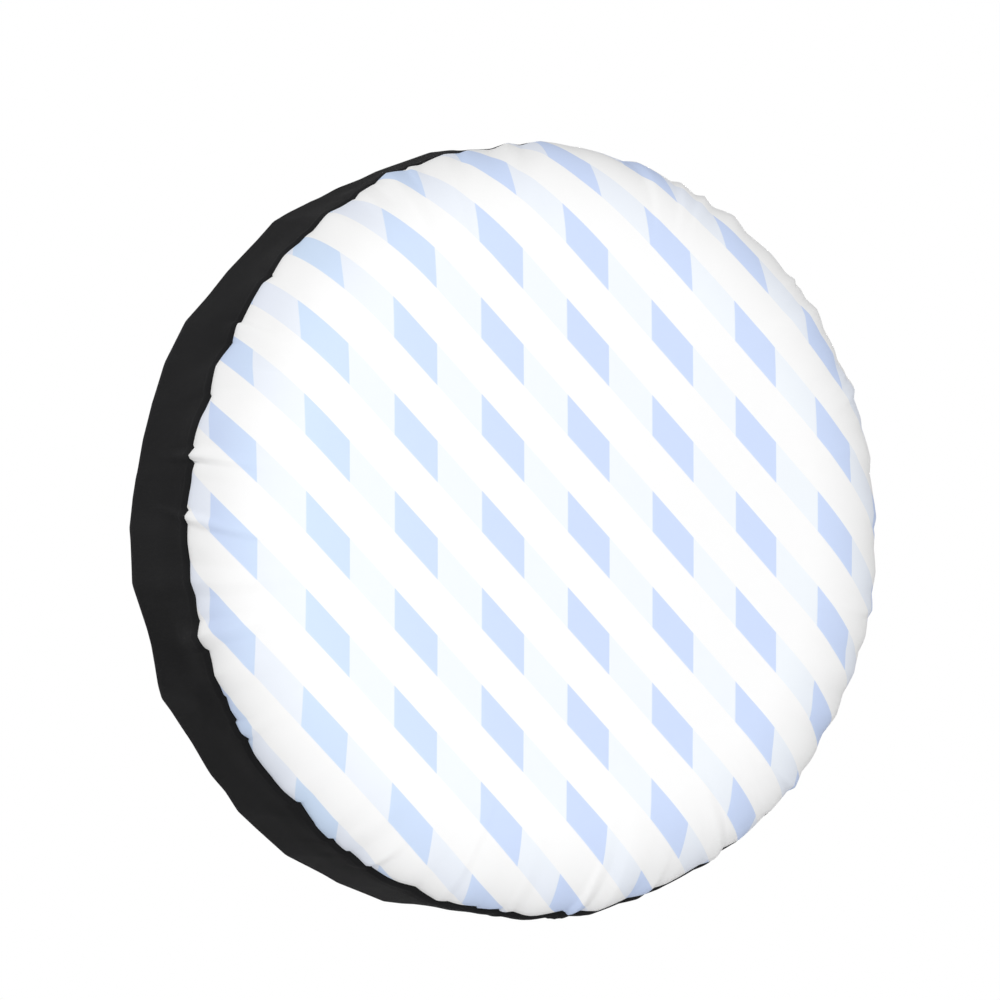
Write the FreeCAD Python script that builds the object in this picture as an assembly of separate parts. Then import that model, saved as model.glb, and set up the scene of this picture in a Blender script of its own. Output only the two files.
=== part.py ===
import FreeCAD, Part
import math
import os

from FreeCAD import Vector

# Soft cover for a spare wheel. Millimetres, +Z up. The origin is the middle of the tyre space, on
# the wheel's axis. The printed face looks along -Y, and the tyre goes in and out along +Y.

# The outside of the cloth
coverRadius = 368.0
coverDepth = 216.0
frontY = -108.8
frontShoulderRadial = 105.0
frontShoulderDeep = 77.0
rearShoulderRadial = 36.0
rearShoulderDeep = 34.0
frontSeamAngle = 79.2
rearSeamAngle = 40.0

# Cloth, felt and tape
clothThickness = 1.2
liningThickness = 1.4
seamGap = 0.1
joinAngle = 50.0  # where the band's ends meet, below the horizontal on the +X side
tapeThickness = 2.2
tapeWidth = 13.0

# The gathered rear opening
openingRadius = 232.0
casingWidth = 18.0
casingThickness = 5.0
casingWall = 1.0
elasticWidth = 12.0
elasticThickness = 1.6
elasticOverlap = 20.0

# Webbing straps and the patches that carry them
strapX = 125.0
strapRootZ = 232.0
webbingWidth = 25.0
webbingThickness = 1.6
doubledThickness = 3.3
sewnLength = 36.0
patchSize = 44.0
patchThickness = 2.6
patchOverlap = 4.0  # how far a patch reaches past the strap's root, towards the hem
webbingY = 110.0
foldGap = 0.4
upperBarDrop = 314.0
lowerBarDrop = 58.0
tailLength = 84.0
keeperRise = 42.0
keeperHeight = 14.0
keeperThickness = 0.6
keeperGap = 0.1

# Side-release buckles
barRadius = 1.6
eyeInnerRadius = 1.9
eyeOuterRadius = 3.5
buckleWidth = 34.0
bodyThickness = 11.0
latchThickness = 8.4
latchOffsetY = 1.6
cheekWidth = 4.0
bodyLength = 41.0
latchLength = 44.0
socketHalfWidth = 13.6
socketHalfHeight = 3.3
armHalfThickness = 2.6

# Blank label at the hem
labelWidth = 32.0
labelLength = 40.0
labelThickness = 0.6
labelGap = 4.0

# Drain eyelet
eyeletHoleRadius = 5.0
eyeletFlangeRadius = 9.5
eyeletY = 40.0

# Sewing thread
threadRadius = 0.35
boxThreadRadius = 0.15
stitchPitch = 12.0
stitchLength = 8.0

threadLift = threadRadius + 0.03
frontShoulderR = coverRadius - frontShoulderRadial
rearShoulderR = coverRadius - rearShoulderRadial
rearShoulderStart = coverDepth - rearShoulderDeep
rearY = frontY + coverDepth
casingOuterR = openingRadius + casingWidth
casingMiddleY = rearY - clothThickness / 2


def arc_along(center, radial, deep, start, stop):
    """An elliptical arc in the XY plane. Angles run from the -Y side at 0 to the +Y side at 180."""
    def point(angle):
        a = math.radians(angle)
        return Vector(center.x + radial * math.sin(a), center.y - deep * math.cos(a), 0)
    curve = Part.BSplineCurve()
    steps = max(4, int(abs(stop - start) / 8))
    curve.interpolate([point(start + (stop - start) * k / steps) for k in range(steps + 1)])
    return curve.toShape()


def line(start, stop):
    return Part.LineSegment(start, stop).toShape()


def ends(edges):
    return edges[0].firstVertex().Point, edges[-1].lastVertex().Point


def shell_of(path, outside, inside):
    """Turns the strip between two offsets of a profile path round the wheel's axis."""
    outer = path(outside)
    inner = path(inside)
    outer_start, outer_stop = ends(outer)
    inner_start, inner_stop = ends(inner)
    edges = outer + inner + [line(outer_start, inner_start), line(outer_stop, inner_stop)]
    face = Part.Face(Part.Wire(Part.__sortEdges__(edges)))
    return face.revolve(Vector(0, 0, 0), Vector(0, 1, 0), 360)


def front_arc(offset, start, stop):
    center = Vector(frontShoulderR, frontY + frontShoulderDeep, 0)
    return arc_along(center, frontShoulderRadial - offset, frontShoulderDeep - offset, start, stop)


def rear_arc(offset, start, stop):
    center = Vector(rearShoulderR, frontY + rearShoulderStart, 0)
    return arc_along(center, rearShoulderRadial - offset, rearShoulderDeep - offset, start, stop)


def front_path(offset):
    face = line(Vector(0, frontY + offset, 0), Vector(frontShoulderR, frontY + offset, 0))
    return [face, front_arc(offset, 0, frontSeamAngle)]


def band_path(offset):
    first = front_arc(offset, frontSeamAngle + 0.15, 90)
    last = rear_arc(offset, 90, 90 + rearSeamAngle)
    middle = line(first.lastVertex().Point, last.firstVertex().Point)
    return [first, middle, last]


def skirt_path(offset):
    first = rear_arc(offset, 90 + rearSeamAngle + 0.4, 180)
    start = first.lastVertex().Point
    return [first, line(start, Vector(casingOuterR + 0.1, start.y, 0))]


def ring_of(inner_radius, outer_radius, low_y, high_y, angle=360):
    corners = [
        Vector(inner_radius, low_y, 0),
        Vector(outer_radius, low_y, 0),
        Vector(outer_radius, high_y, 0),
        Vector(inner_radius, high_y, 0),
    ]
    face = Part.Face(Part.makePolygon(corners + corners[:1]))
    return face.revolve(Vector(0, 0, 0), Vector(0, 1, 0), angle)


def block(low, high, rounding=0.0):
    size = high - low
    box = Part.makeBox(size.x, size.y, size.z, low)
    return box.makeFillet(rounding, box.Edges) if rounding else box


def stitch(start, stop, radius=threadRadius):
    return Part.makeCylinder(radius, (stop - start).Length, start, stop - start)


def stitch_ring(radius, y):
    """Stitches laid end to end round the wheel's axis."""
    count = int(2 * math.pi * radius / stitchPitch)
    stitches = []
    for k in range(count):
        one = stitch(Vector(radius, y, -stitchLength / 2), Vector(radius, y, stitchLength / 2))
        one.rotate(Vector(0, 0, 0), Vector(0, 1, 0), 360.0 * k / count)
        stitches.append(one)
    return Part.makeCompound(stitches)


def stitch_line(start, stop, count, radius=threadRadius):
    """Evenly spaced stitches from one point to another, a little shorter than their pitch."""
    step = (stop - start) / count
    gap = step * 0.12
    return [stitch(start + step * k + gap, start + step * (k + 1) - gap, radius) for k in range(count)]


def front_panel():
    return shell_of(front_path, 0, clothThickness)


def front_lining():
    start = clothThickness + seamGap
    return shell_of(front_path, start, start + liningThickness)


def drain_hole():
    return Part.makeCylinder(eyeletHoleRadius + 0.9, 20, Vector(0, eyeletY, -coverRadius - 10))


def side_band():
    return shell_of(band_path, 0, clothThickness).cut(drain_hole())


def rear_skirt():
    return shell_of(skirt_path, 0, clothThickness)


def front_seam_binding():
    outer = coverRadius - clothThickness - seamGap
    start = frontY + frontShoulderDeep
    return ring_of(outer - tapeThickness, outer, start, start + tapeWidth)


def rear_seam_binding():
    outer = coverRadius - clothThickness - seamGap
    stop = frontY + rearShoulderStart
    return ring_of(outer - tapeThickness, outer, stop - tapeWidth, stop)


def band_join_tape():
    """A tape across the band's depth, behind the place where the band's two ends meet."""
    outer = coverRadius - clothThickness - seamGap
    low = frontY + frontShoulderDeep + tapeWidth + 0.5
    high = frontY + rearShoulderStart - tapeWidth - 0.5
    tape = ring_of(outer - 1.0, outer, low, high, 4.0)
    tape.rotate(Vector(0, 0, 0), Vector(0, 1, 0), joinAngle - 2.0)
    return tape


def band_join_thread():
    radius = coverRadius + threadLift
    low = frontY + frontShoulderDeep + 2
    high = frontY + rearShoulderStart - 2
    rows = []
    for side in (-0.7, 0.7):
        row = Part.makeCompound(stitch_line(Vector(radius, low, 0), Vector(radius, high, 0), 12))
        row.rotate(Vector(0, 0, 0), Vector(0, 1, 0), joinAngle + side)
        rows.extend(row.Solids)
    return Part.makeCompound(rows)


def casing_section(margin):
    low = casingMiddleY - casingThickness / 2 + margin
    high = casingMiddleY + casingThickness / 2 - margin
    return ring_of(openingRadius + margin, casingOuterR - margin, low, high)


def hem_casing():
    return casing_section(0).cut(casing_section(casingWall))


def hem_elastic():
    inner = openingRadius + casingWidth / 2 - elasticWidth / 2
    low = casingMiddleY - elasticThickness / 2
    return ring_of(inner, inner + elasticWidth, low, low + elasticThickness)


def elastic_joint_thread():
    """Two short rows across the elastic, where its ends lap over each other at the bottom."""
    y = casingMiddleY + elasticThickness / 2 + 0.3
    middle = openingRadius + casingWidth / 2
    rows = []
    for x in (-elasticOverlap / 2, elasticOverlap / 2):
        start = Vector(x, y, -middle - elasticWidth / 2 + 1)
        rows += stitch_line(start, start + Vector(0, 0, elasticWidth - 2), 3, 0.25)
    return Part.makeCompound(rows)


def front_seam_thread():
    radius = coverRadius - clothThickness - seamGap - tapeThickness - threadLift
    return stitch_ring(radius, frontY + frontShoulderDeep + 3)


def rear_seam_thread():
    angle = math.radians(rearSeamAngle - 6)
    radius = rearShoulderR + (rearShoulderRadial + threadLift) * math.cos(angle)
    y = frontY + rearShoulderStart + (rearShoulderDeep + threadLift) * math.sin(angle)
    return stitch_ring(radius, y)


def hem_thread():
    return stitch_ring(casingOuterR - 2.5, casingMiddleY + casingThickness / 2 + threadLift)


def strap_patch(side, level):
    start = strapRootZ - patchOverlap
    low_z = start if level > 0 else -start - patchSize
    low = Vector(side * strapX - patchSize / 2, rearY + 0.05, low_z)
    return block(low, low + Vector(patchSize, patchThickness, patchSize))


def sewn_thickness(level):
    return webbingThickness if level > 0 else doubledThickness


def strap_end(side, level):
    """The part of a strap that lies sewn on its patch."""
    low_z = strapRootZ if level > 0 else -strapRootZ - sewnLength
    low = Vector(side * strapX - webbingWidth / 2, webbingY, low_z)
    return block(low, low + Vector(webbingWidth, sewn_thickness(level), sewnLength))


def between(start, stop, share):
    return start + (stop - start) * share


def box_stitches(side, level):
    """A stitched square with a cross in it. One arm of the cross stops short of the middle."""
    inset = 3.0
    y = webbingY + sewn_thickness(level) + boxThreadRadius + 0.02
    x = webbingWidth / 2 - inset
    near = level * (strapRootZ + inset)
    far = level * (strapRootZ + sewnLength - inset)
    corners = [Vector(side * strapX + dx, y, z) for dx, z in ((-x, near), (x, near), (x, far), (-x, far))]
    rows = []
    for k in range(4):
        rows += stitch_line(corners[k], corners[(k + 1) % 4], 5, boxThreadRadius)
    first, last = corners[0], corners[2]
    rows += stitch_line(between(first, last, 0.06), between(first, last, 0.94), 6, boxThreadRadius)
    middle = between(first, last, 0.5)
    for corner in (corners[1], corners[3]):
        rows += stitch_line(between(corner, middle, 0.08), between(corner, middle, 0.88), 3, boxThreadRadius)
    return rows


def patch_thread():
    rows = []
    for side in (-1, 1):
        for level in (-1, 1):
            rows += box_stitches(side, level)
    return Part.makeCompound(rows)


def extrude_across(points, side, width=webbingWidth):
    """A flat outline in the YZ plane, given width along X about a strap's middle."""
    corners = [Vector(side * strapX - width / 2, y, z) for y, z in points]
    return Part.Face(Part.makePolygon(corners + corners[:1])).extrude(Vector(width, 0, 0))


def band_across(side, low_y, high_y, low_z, high_z):
    return extrude_across([(low_y, low_z), (high_y, low_z), (high_y, high_z), (low_y, high_z)], side)


def rod_across(side, radius, y, z, width=webbingWidth):
    return Part.makeCylinder(radius, width, Vector(side * strapX - width / 2, y, z), Vector(1, 0, 0))


def upper_strap(side):
    """Webbing that hangs from its sewn end, goes round the latch's bar and comes back up as a tail."""
    bar_y, bar_z = upperBar
    inner = webbingY
    outer = webbingY + webbingThickness
    run = band_across(side, inner, outer, bar_z, strapRootZ - 0.3)
    lap = outer + 0.1
    keeper_z = bar_z + keeperRise
    top_z = bar_z + tailLength
    eye_side = bar_y + eyeOuterRadius
    tail = extrude_across(
        [
            (eye_side - webbingThickness, bar_z),
            (eye_side, bar_z),
            (lap + webbingThickness, keeper_z - 8),
            (lap + webbingThickness, top_z),
            (lap, top_z),
            (lap, keeper_z - 8),
        ],
        side,
    )
    stop = band_across(side, lap + webbingThickness, lap + 2 * webbingThickness, top_z - 9, top_z)
    eye = rod_across(side, eyeOuterRadius, bar_y, bar_z)
    hole = rod_across(side, eyeInnerRadius, bar_y, bar_z)
    return run.fuse([tail, stop, eye]).cut(hole).removeSplitter()


def lower_strap(side):
    """Doubled webbing that folds over its sewn end and hangs, with the body's bar in its loop."""
    bar_y, bar_z = lowerBar
    half = doubledThickness / 2
    run = band_across(side, bar_y - half, bar_y + half, bar_z, -strapRootZ)
    eye = rod_across(side, eyeOuterRadius, bar_y, bar_z)
    hole = rod_across(side, eyeInnerRadius, bar_y, bar_z)
    return run.fuse(eye).cut(hole).removeSplitter()


def strap_keeper(side):
    """An elastic loop round the upper strap and its tail."""
    low_z = upperBar[1] + keeperRise
    inner = Vector(side * strapX - webbingWidth / 2 - 0.3, webbingY - keeperGap, low_z)
    size = Vector(webbingWidth + 0.6, 2 * webbingThickness + 4 * keeperGap, keeperHeight)
    wall = Vector(keeperThickness, keeperThickness, 0)
    outer = block(inner - wall, inner + size + wall)
    return outer.cut(block(inner - Vector(0, 0, 1), inner + size + Vector(0, 0, 1)))


def slab(x, y, half_width, half_thickness, low_z, high_z, rounding=0.0):
    """A block centred on x and y."""
    low = Vector(x - half_width, y - half_thickness, low_z)
    return block(low, Vector(x + half_width, y + half_thickness, high_z), rounding)


def buckle_frame(side, bar, offset_y, half_thickness):
    """Two cheeks and the bar that the webbing goes round."""
    bar_y, bar_z = bar
    pieces = [rod_across(side, barRadius, bar_y, bar_z, buckleWidth - 2)]
    for toward in (-1, 1):
        x = side * strapX + toward * (buckleWidth - cheekWidth) / 2
        cheek = slab(x, bar_y + offset_y, cheekWidth / 2, half_thickness, bar_z - 9, bar_z + 5, 1.4)
        pieces.append(cheek)
    return pieces


def buckle_body(side):
    """The socket half: a flat sleeve, open at the tip, with a window in each side for the prongs."""
    bar_y, bar_z = lowerBar
    x = side * strapX
    half = buckleWidth / 2
    thick = bodyThickness / 2
    tip_z = bar_z - bodyLength
    sleeve = slab(x, bar_y, half, thick, tip_z, bar_z - 4, 1.8)
    frame = buckle_frame(side, lowerBar, 0, thick - 1.6)
    socket = slab(x, bar_y, socketHalfWidth, socketHalfHeight, tip_z - 1, bar_z - 8.5)
    windows = slab(x, bar_y, half + 1, socketHalfHeight, tip_z + 14, tip_z + 27.5)
    body = sleeve.fuse(frame).cut(socket).cut(windows)
    for toward in (-1, 1):
        grip = Vector(x + toward * (half + 12), bar_y - 10, tip_z + 20.7)
        body = body.cut(Part.makeCylinder(14.2, 20, grip, Vector(0, 1, 0)))
    return body


def latch_arm(x, y, toward, base_z, tip_z):
    """A springy arm that ends in a hooked head."""
    outline = [
        (8.2, base_z + 2),
        (11.6, base_z + 2),
        (11.2, tip_z + 15),
        (16.2, tip_z + 13),
        (16.4, tip_z + 8),
        (12.5, tip_z),
        (9.4, tip_z),
        (8.2, tip_z + 10),
    ]
    corners = [Vector(x + toward * dx, y - armHalfThickness, z) for dx, z in outline]
    return Part.Face(Part.makePolygon(corners + corners[:1])).extrude(Vector(0, 2 * armHalfThickness, 0))


def buckle_latch(side):
    """The pronged half: a base with a middle guide and two springy arms."""
    bar_y, bar_z = upperBar
    x = side * strapX
    y = bar_y + latchOffsetY
    thick = latchThickness / 2
    base_z = bar_z - 14
    tip_z = bar_z - latchLength
    base = slab(x, y, buckleWidth / 2, thick, base_z, bar_z - 4, 1.8)
    guide = slab(x, y, 2.4, 2.4, tip_z + 4, base_z + 2, 1.0)
    arms = [latch_arm(x, y, toward, base_z, tip_z) for toward in (-1, 1)]
    return base.fuse(buckle_frame(side, upperBar, latchOffsetY, thick - 0.4) + [guide] + arms)


def turned(points, y):
    """A profile in radius and height, turned about a vertical axis through the drain hole."""
    corners = [Vector(radius, y, z) for radius, z in points]
    face = Part.Face(Part.makePolygon(corners + corners[:1]))
    return face.revolve(Vector(0, y, 0), Vector(0, 0, 1), 360)


def drain_eyelet():
    """A brass tube through the cloth, with a flange outside and its inner end spread over the washer."""
    hole = eyeletHoleRadius
    wall = 0.6
    outside = -coverRadius - 0.03
    inside = -coverRadius + clothThickness + 1.0
    points = [
        (hole, outside - 0.3),
        (hole + 1.0, outside - 1.1),
        (eyeletFlangeRadius - 1.0, outside - 0.9),
        (eyeletFlangeRadius, outside - 0.2),
        (eyeletFlangeRadius - 0.3, outside),
        (hole + wall, outside),
        (hole + wall, inside),
        (hole + 2.4, inside),
        (hole + 2.0, inside + 0.8),
        (hole + wall, inside + 1.0),
        (hole, inside + 0.6),
    ]
    return turned(points, eyeletY)


def drain_eyelet_washer():
    hole = eyeletHoleRadius + 0.7
    low = -coverRadius + clothThickness + 0.25
    points = [(hole, low), (eyeletFlangeRadius, low), (eyeletFlangeRadius, low + 0.6), (hole, low + 0.6)]
    return turned(points, eyeletY)


def size_label():
    low = Vector(-labelWidth / 2, rearY + 0.05, casingOuterR + labelGap)
    return block(low, low + Vector(labelWidth, labelThickness, labelLength))


foldAxisY = webbingY + doubledThickness + foldGap
upperBar = (webbingY + 3.7, strapRootZ - upperBarDrop)
lowerBar = (foldAxisY + foldGap + doubledThickness / 2, -strapRootZ - lowerBarDrop)

nodes = {
    "front_panel": front_panel(),
    "front_lining": front_lining(),
    "side_band": side_band(),
    "rear_skirt": rear_skirt(),
    "front_seam_binding": front_seam_binding(),
    "rear_seam_binding": rear_seam_binding(),
    "band_join_tape": band_join_tape(),
    "band_join_thread": band_join_thread(),
    "hem_casing": hem_casing(),
    "hem_elastic": hem_elastic(),
    "elastic_joint_thread": elastic_joint_thread(),
    "front_seam_thread": front_seam_thread(),
    "rear_seam_thread": rear_seam_thread(),
    "hem_thread": hem_thread(),
    "patch_thread": patch_thread(),
    "drain_eyelet": drain_eyelet(),
    "drain_eyelet_washer": drain_eyelet_washer(),
    "size_label": size_label(),
}
for sideName, sideSign in (("left", -1), ("right", 1)):
    for levelName, levelSign in (("upper", 1), ("lower", -1)):
        nodes[f"{sideName}_{levelName}_strap_patch"] = strap_patch(sideSign, levelSign)
        nodes[f"{sideName}_{levelName}_strap_end"] = strap_end(sideSign, levelSign)
    nodes[f"{sideName}_upper_strap"] = upper_strap(sideSign)
    nodes[f"{sideName}_lower_strap"] = lower_strap(sideSign)
    nodes[f"{sideName}_strap_keeper"] = strap_keeper(sideSign)
    nodes[f"{sideName}_buckle_latch"] = buckle_latch(sideSign)
    nodes[f"{sideName}_buckle_body"] = buckle_body(sideSign)

os.makedirs("parts", exist_ok=True)
for name, shape in nodes.items():
    shape.exportStep(f"parts/{name}.step")
    size = shape.BoundBox
    spans = [(size.XMin, size.XMax), (size.YMin, size.YMax), (size.ZMin, size.ZMax)]
    state = "valid" if shape.isValid() else "NOT VALID"
    print(name, state, len(shape.Solids), [(round(low, 1), round(high, 1)) for low, high in spans])
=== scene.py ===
from math import pi, radians

import bmesh
import bpy
import numpy as np
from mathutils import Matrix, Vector


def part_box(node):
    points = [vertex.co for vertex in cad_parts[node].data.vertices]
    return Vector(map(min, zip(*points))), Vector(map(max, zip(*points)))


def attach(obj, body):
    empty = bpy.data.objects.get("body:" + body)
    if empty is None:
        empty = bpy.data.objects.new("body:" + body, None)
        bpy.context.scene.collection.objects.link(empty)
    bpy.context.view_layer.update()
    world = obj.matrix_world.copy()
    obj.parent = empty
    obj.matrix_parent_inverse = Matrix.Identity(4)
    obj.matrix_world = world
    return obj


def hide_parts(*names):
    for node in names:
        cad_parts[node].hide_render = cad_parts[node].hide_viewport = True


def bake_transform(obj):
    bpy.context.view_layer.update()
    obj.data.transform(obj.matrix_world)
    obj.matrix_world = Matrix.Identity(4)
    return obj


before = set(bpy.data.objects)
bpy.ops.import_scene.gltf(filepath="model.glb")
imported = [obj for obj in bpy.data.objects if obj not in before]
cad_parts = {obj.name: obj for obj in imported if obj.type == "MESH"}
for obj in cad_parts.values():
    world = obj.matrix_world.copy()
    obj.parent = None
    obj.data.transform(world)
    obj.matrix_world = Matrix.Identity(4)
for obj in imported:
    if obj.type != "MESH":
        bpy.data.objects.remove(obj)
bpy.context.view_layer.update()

# Soft cover for a spare wheel, in metres. The wheel's axis is Y and the printed face looks along -Y.
# An angle a turns from +X towards +Z, and a length s runs over the cloth from the middle of the face,
# round the front shoulder, across the band, round the rear shoulder and in to the hem.
tau = 2 * pi


def boxSpans(node):
    # the low and the high end of a node's box along X, Y and Z
    return np.array(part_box(node)).T


def boxSpan(node, axis):
    # the same along one axis
    return boxSpans(node)[axis]


def turns(count):
    # a full turn in equal steps with both ends: 2 pi k / count
    return np.arange(count + 1) / count * tau


def bell(x, reach):
    # exp(-(x / reach)^2)
    return np.exp(-((x / reach) ** 2))

# camera: middle of the face + back * away + right * sideways + up * raised, looking level along -back
cameraSetup = {"azimuth": -27.3, "away": 7.575, "sideways": -0.0650, "raised": 0.0308, "lens": 288.0}


def makeCamera(setup):
    # back is (sin turn, -cos turn, 0) and right is (cos turn, sin turn, 0)
    turn = radians(setup["azimuth"])
    back = np.array([np.sin(turn), -np.cos(turn), 0.0])
    right = np.array([np.cos(turn), np.sin(turn), 0.0])
    middle = np.array([0.0, boxSpan("front_panel", 1)[0], setup["raised"]])
    data = bpy.data.cameras.new("camera")
    data.lens = setup["lens"]
    data.sensor_width = 36.0
    data.clip_end = 100.0
    camera = bpy.data.objects.new("camera", data)
    camera.location = middle + back * setup["away"] + right * setup["sideways"]
    camera.rotation_euler = (pi / 2, 0, turn)
    bpy.context.collection.objects.link(camera)
    bpy.context.scene.camera = camera


makeCamera(cameraSetup)
print("camera placed")


class Wiring:
    # the nodes of a material or a world: every method takes numbers or sockets and gives a socket back
    def __init__(self, owner):
        owner.use_nodes = True
        self.tree = owner.node_tree
        self.tree.nodes.clear()

    def plug(self, socket, value):
        # a socket is linked, and a number or a colour is set
        if isinstance(value, bpy.types.NodeSocket):
            self.tree.links.new(value, socket)
        elif value is not None:
            socket.default_value = value

    def put(self, kind, values, out=0, **settings):
        # a new node with its settings and inputs, which gives one of its outputs
        node = self.tree.nodes.new(kind)
        for key, value in settings.items():
            setattr(node, key, value)
        for key, value in values.items():
            self.plug(node.inputs[key], value)
        return node.outputs[out]

    def math(self, operation, a, b=None):
        # the operation's own formula on a and b
        return self.put("ShaderNodeMath", {0: a, 1: b}, operation=operation)

    def shown(self):
        # 1 for a ray from the camera and for one that gloss or glass sends on, else 0
        names = ("Is Camera Ray", "Is Glossy Ray", "Is Transmission Ray")
        camera, glossy, clear = [self.put("ShaderNodeLightPath", {}, out=name) for name in names]
        return self.math("MAXIMUM", camera, self.math("MAXIMUM", glossy, clear))


class Look(Wiring):
    # a material with one Principled shader, and the textures that finishes are made of
    def __init__(self, name):
        self.material = bpy.data.materials.new(name)
        super().__init__(self.material)
        self.shader = self.tree.nodes.new("ShaderNodeBsdfPrincipled")
        self.output = self.tree.nodes.new("ShaderNodeOutputMaterial")
        self.tree.links.new(self.shader.outputs[0], self.output.inputs[0])

    def times(self, a, b):
        # a * b
        return self.math("MULTIPLY", a, b)

    def plus(self, a, b):
        # a + b
        return self.math("ADD", a, b)

    def noise(self, scale, detail=3.0, rough=0.55):
        # cloudy noise on the piece's own coordinates
        where = self.put("ShaderNodeTexCoord", {}, out=3)
        values = {"Vector": where, "Scale": scale, "Detail": detail, "Roughness": rough}
        return self.put("ShaderNodeTexNoise", values)

    def ramp(self, value, low, high):
        # 0 at low, 1 at high, straight in between and level beyond them
        return self.put("ShaderNodeMapRange", {"Value": value, "From Min": low, "From Max": high})

    def mix(self, factor, a, b):
        # a * (1 - factor) + b * factor
        return self.put("ShaderNodeMix", {0: factor, 6: a, 7: b}, out=2, data_type="RGBA")

    def uv(self):
        # the two lengths over the cloth's own plane
        where = self.put("ShaderNodeUVMap", {}, uv_map="cloth")
        return [self.put("ShaderNodeSeparateXYZ", {0: where}, out=k) for k in (0, 1)]

    def fold(self):
        # how far the cloth stands off its plain outline
        return self.put("ShaderNodeAttribute", {}, out=2, attribute_name="fold")

    def bump(self, height, strength, distance, normal=None):
        # the normal tilted by the slope of height * distance, taken at the given strength
        values = {"Height": height, "Strength": strength, "Distance": distance, "Normal": normal}
        return self.put("ShaderNodeBump", values)

    def finish(self, color, rough, normal, **constants):
        # wires the three textures in, and sets the rest on the shader's own sockets
        self.plug(self.shader.inputs["Base Color"], color)
        self.plug(self.shader.inputs["Roughness"], rough)
        self.plug(self.shader.inputs["Normal"], normal)
        for key, value in constants.items():
            self.shader.inputs[key.replace("_", " ")].default_value = value
        return self.material


def seen(red, green, blue):
    # a colour as it is seen, 0 to 255, in linear light: c / 12.92 when dark, else ((c + 0.055) / 1.055) ^ 2.4
    c = np.array([red, green, blue]) / 255.0
    return (*np.where(c <= 0.04045, c / 12.92, ((c + 0.055) / 1.055) ** 2.4).tolist(), 1.0)


def weave(look, u, v, pitch):
    # plain weave: the higher of the two thread sets, |sin u * sin(v / 2)| and |sin v * cos(u / 2)|
    a = look.times(u, tau / pitch)
    b = look.times(v, tau / pitch)
    over = look.times(look.math("SINE", a), look.math("SINE", look.times(b, 0.5)))
    under = look.times(look.math("SINE", b), look.math("COSINE", look.times(a, 0.5)))
    return look.math("MAXIMUM", look.math("ABSOLUTE", over), look.math("ABSOLUTE", under))


printSetup = {
    "pitch": 0.0912,  # one repeat, both for the slanting bands and the upright columns
    "bandStart": 0.0019,
    "bandShare": 0.425,
    "columnStart": 0.0027,
    "columnShare": 0.49,
    "softEdge": 0.0009,
    "white": (251, 251, 251),
    "tint": (242, 247, 252),
    # darker near the rim: partly the print's colour, partly painted shade on the shoulder
    "tintRimWithShade": (236, 241, 252),
    # darker tiles at the left rim: partly the print's colour, partly painted shade on the shoulder
    "tileRimWithShade": (204, 217, 250),
    "tileLeft": (212, 230, 252),
    "tileRight": (207, 222, 252),
}


def stripes(look, where, start, share, setup):
    # 1 in the first share of every repeat and 0 in the rest: a rising ramp times a falling one
    moved = look.plus(where, start + 40 * setup["pitch"])
    at = look.math("FRACT", look.math("DIVIDE", moved, setup["pitch"]))
    soft = setup["softEdge"] / setup["pitch"]
    return look.times(look.ramp(at, 0.0, soft), look.ramp(at, share + soft, share))


def printedCloth(setup):
    # slanting bands where u + v repeats, columns where u repeats, and a tile wherever the two cross
    look = Look("printedCloth")
    u, v = look.uv()
    band = stripes(look, look.plus(u, v), setup["bandStart"], setup["bandShare"], setup)
    column = stripes(look, u, setup["columnStart"], setup["columnShare"], setup)
    round2 = look.plus(look.times(u, u), look.times(v, v))
    # the tint turns darker towards the rim: partly the print's colour, partly painted shade on the shoulder
    tint = look.mix(look.ramp(round2, 0.07, 0.15), seen(*setup["tint"]), seen(*setup["tintRimWithShade"]))
    color = look.mix(band, seen(*setup["white"]), tint)
    tile = look.mix(look.ramp(u, -0.30, -0.02), seen(*setup["tileLeft"]), seen(*setup["tileRight"]))
    # darker tiles at the left rim: partly the print's colour, partly painted shade on the shoulder
    tile = look.mix(look.ramp(u, -0.41, -0.29), seen(*setup["tileRimWithShade"]), tile)
    color = look.mix(look.times(band, column), color, tile)
    cloud = look.ramp(look.noise(9.0, 4.0), 0.35, 0.7)
    color = look.mix(look.times(cloud, 0.03), color, seen(226, 226, 222))
    # painted shade: a grey mixed in where the cloth lies below its plain outline, in the valleys at the seam
    paintedValleyShade = look.ramp(look.fold(), -0.0006, -0.0034)
    color = look.mix(look.times(paintedValleyShade, 0.22), color, seen(158, 160, 166))
    threads = weave(look, u, v, 0.00095)
    normal = look.bump(threads, 0.2, 0.00012)
    normal = look.bump(look.noise(26.0, 4.0, 0.5), 0.08, 0.002, normal)
    rough = look.plus(look.times(look.noise(60.0), 0.12), 0.5)
    return look.finish(color, rough, normal, Specular_IOR_Level=0.02)


clothColours = {
    # name: the darker and the paler of its two colours, the weave's pitch, its depth, sheen
    "blackCloth": ((30, 30, 31), (37, 37, 38), 0.0013, 0.0003, 0.0),
    "bindingTape": ((38, 38, 41), (52, 52, 55), 0.0009, 0.0002, 0.1),
}


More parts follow.
